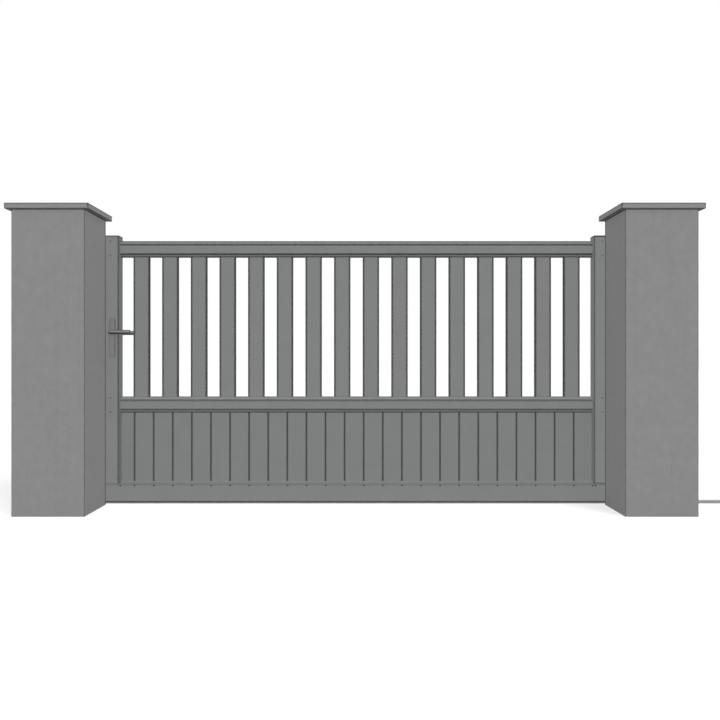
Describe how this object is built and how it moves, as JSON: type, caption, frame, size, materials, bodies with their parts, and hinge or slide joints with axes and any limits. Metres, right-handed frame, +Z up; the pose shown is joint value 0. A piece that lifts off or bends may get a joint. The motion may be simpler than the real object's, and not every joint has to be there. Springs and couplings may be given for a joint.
{
  "type": "sliding driveway gate",
  "caption": "Sliding driveway gate: a leaf of upright pickets over a boarded lower panel, with a lever handle, that rolls on a ground track behind two capped square pillars.",
  "frame": {"origin": "on the ground under the track, on the centre line of the leaf, in the middle of the opening between the pillars", "axes": "+X along the track towards the open end, +Y from the street side to the yard side, +Z up"},
  "size_m": [6.3345, 0.614, 1.738],
  "materials": {
    "render": "matte",
    "coping": "matte",
    "powder_coat": "satin",
    "galvanised": "satin",
    "rubber": "matte",
    "nylon": "satin",
    "wheel_steel": "satin",
    "cap_plastic": "matte",
    "lever_alloy": "satin",
    "plate_alloy": "satin"
  },
  "bodies": {
    "posts": {"left_pillar": "render", "right_pillar": "render", "left_pillar_cap": "coping", "right_pillar_cap": "coping", "ground_track": "galvanised", "track_stop": "galvanised", "guide_bracket": "galvanised", "catcher_channel": "galvanised", "track_stop_buffer": "rubber", "catcher_buffer": "rubber", "guide_rollers": "nylon"},
    "leaf": {"bottom_rail": "powder_coat", "guide_channel": "powder_coat", "handle_plate_front": "plate_alloy", "handle_plate_rear": "plate_alloy", "left_end_cap": "cap_plastic", "left_stile": "powder_coat", "left_stile_cap": "cap_plastic", "left_wheel": "wheel_steel", "lower_boards": "powder_coat", "mid_rail": "powder_coat", "picket_01": "powder_coat", "picket_02": "powder_coat", "picket_03": "powder_coat", "picket_04": "powder_coat", "picket_05": "powder_coat", "picket_06": "powder_coat", "picket_07": "powder_coat", "picket_08": "powder_coat", "picket_09": "powder_coat", "picket_10": "powder_coat", "picket_11": "powder_coat", "picket_12": "powder_coat", "picket_13": "powder_coat", "picket_14": "powder_coat", "picket_15": "powder_coat", "picket_16": "powder_coat", "right_end_cap": "cap_plastic", "right_stile": "powder_coat", "right_stile_cap": "cap_plastic", "right_wheel": "wheel_steel", "top_rail": "powder_coat", "wheel_axles": "wheel_steel"},
    "handle": {"lever_front": "lever_alloy", "lever_rear": "lever_alloy", "spindle": "wheel_steel"}
  },
  "joints": [
    {"name": "leaf_slide", "type": "slide", "parent": "posts", "child": "leaf", "axis": [1, 0, 0], "range_m": [0, 2.8]},
    {"name": "lever_press", "type": "hinge", "parent": "leaf", "child": "handle", "pos_m": [-1.47, 0, 1.0375], "axis": [0, 1, 0], "range_deg": [0, 45], "stiffness_Nm_per_rad": 1.2, "springref_deg": -22.92}
  ]
}
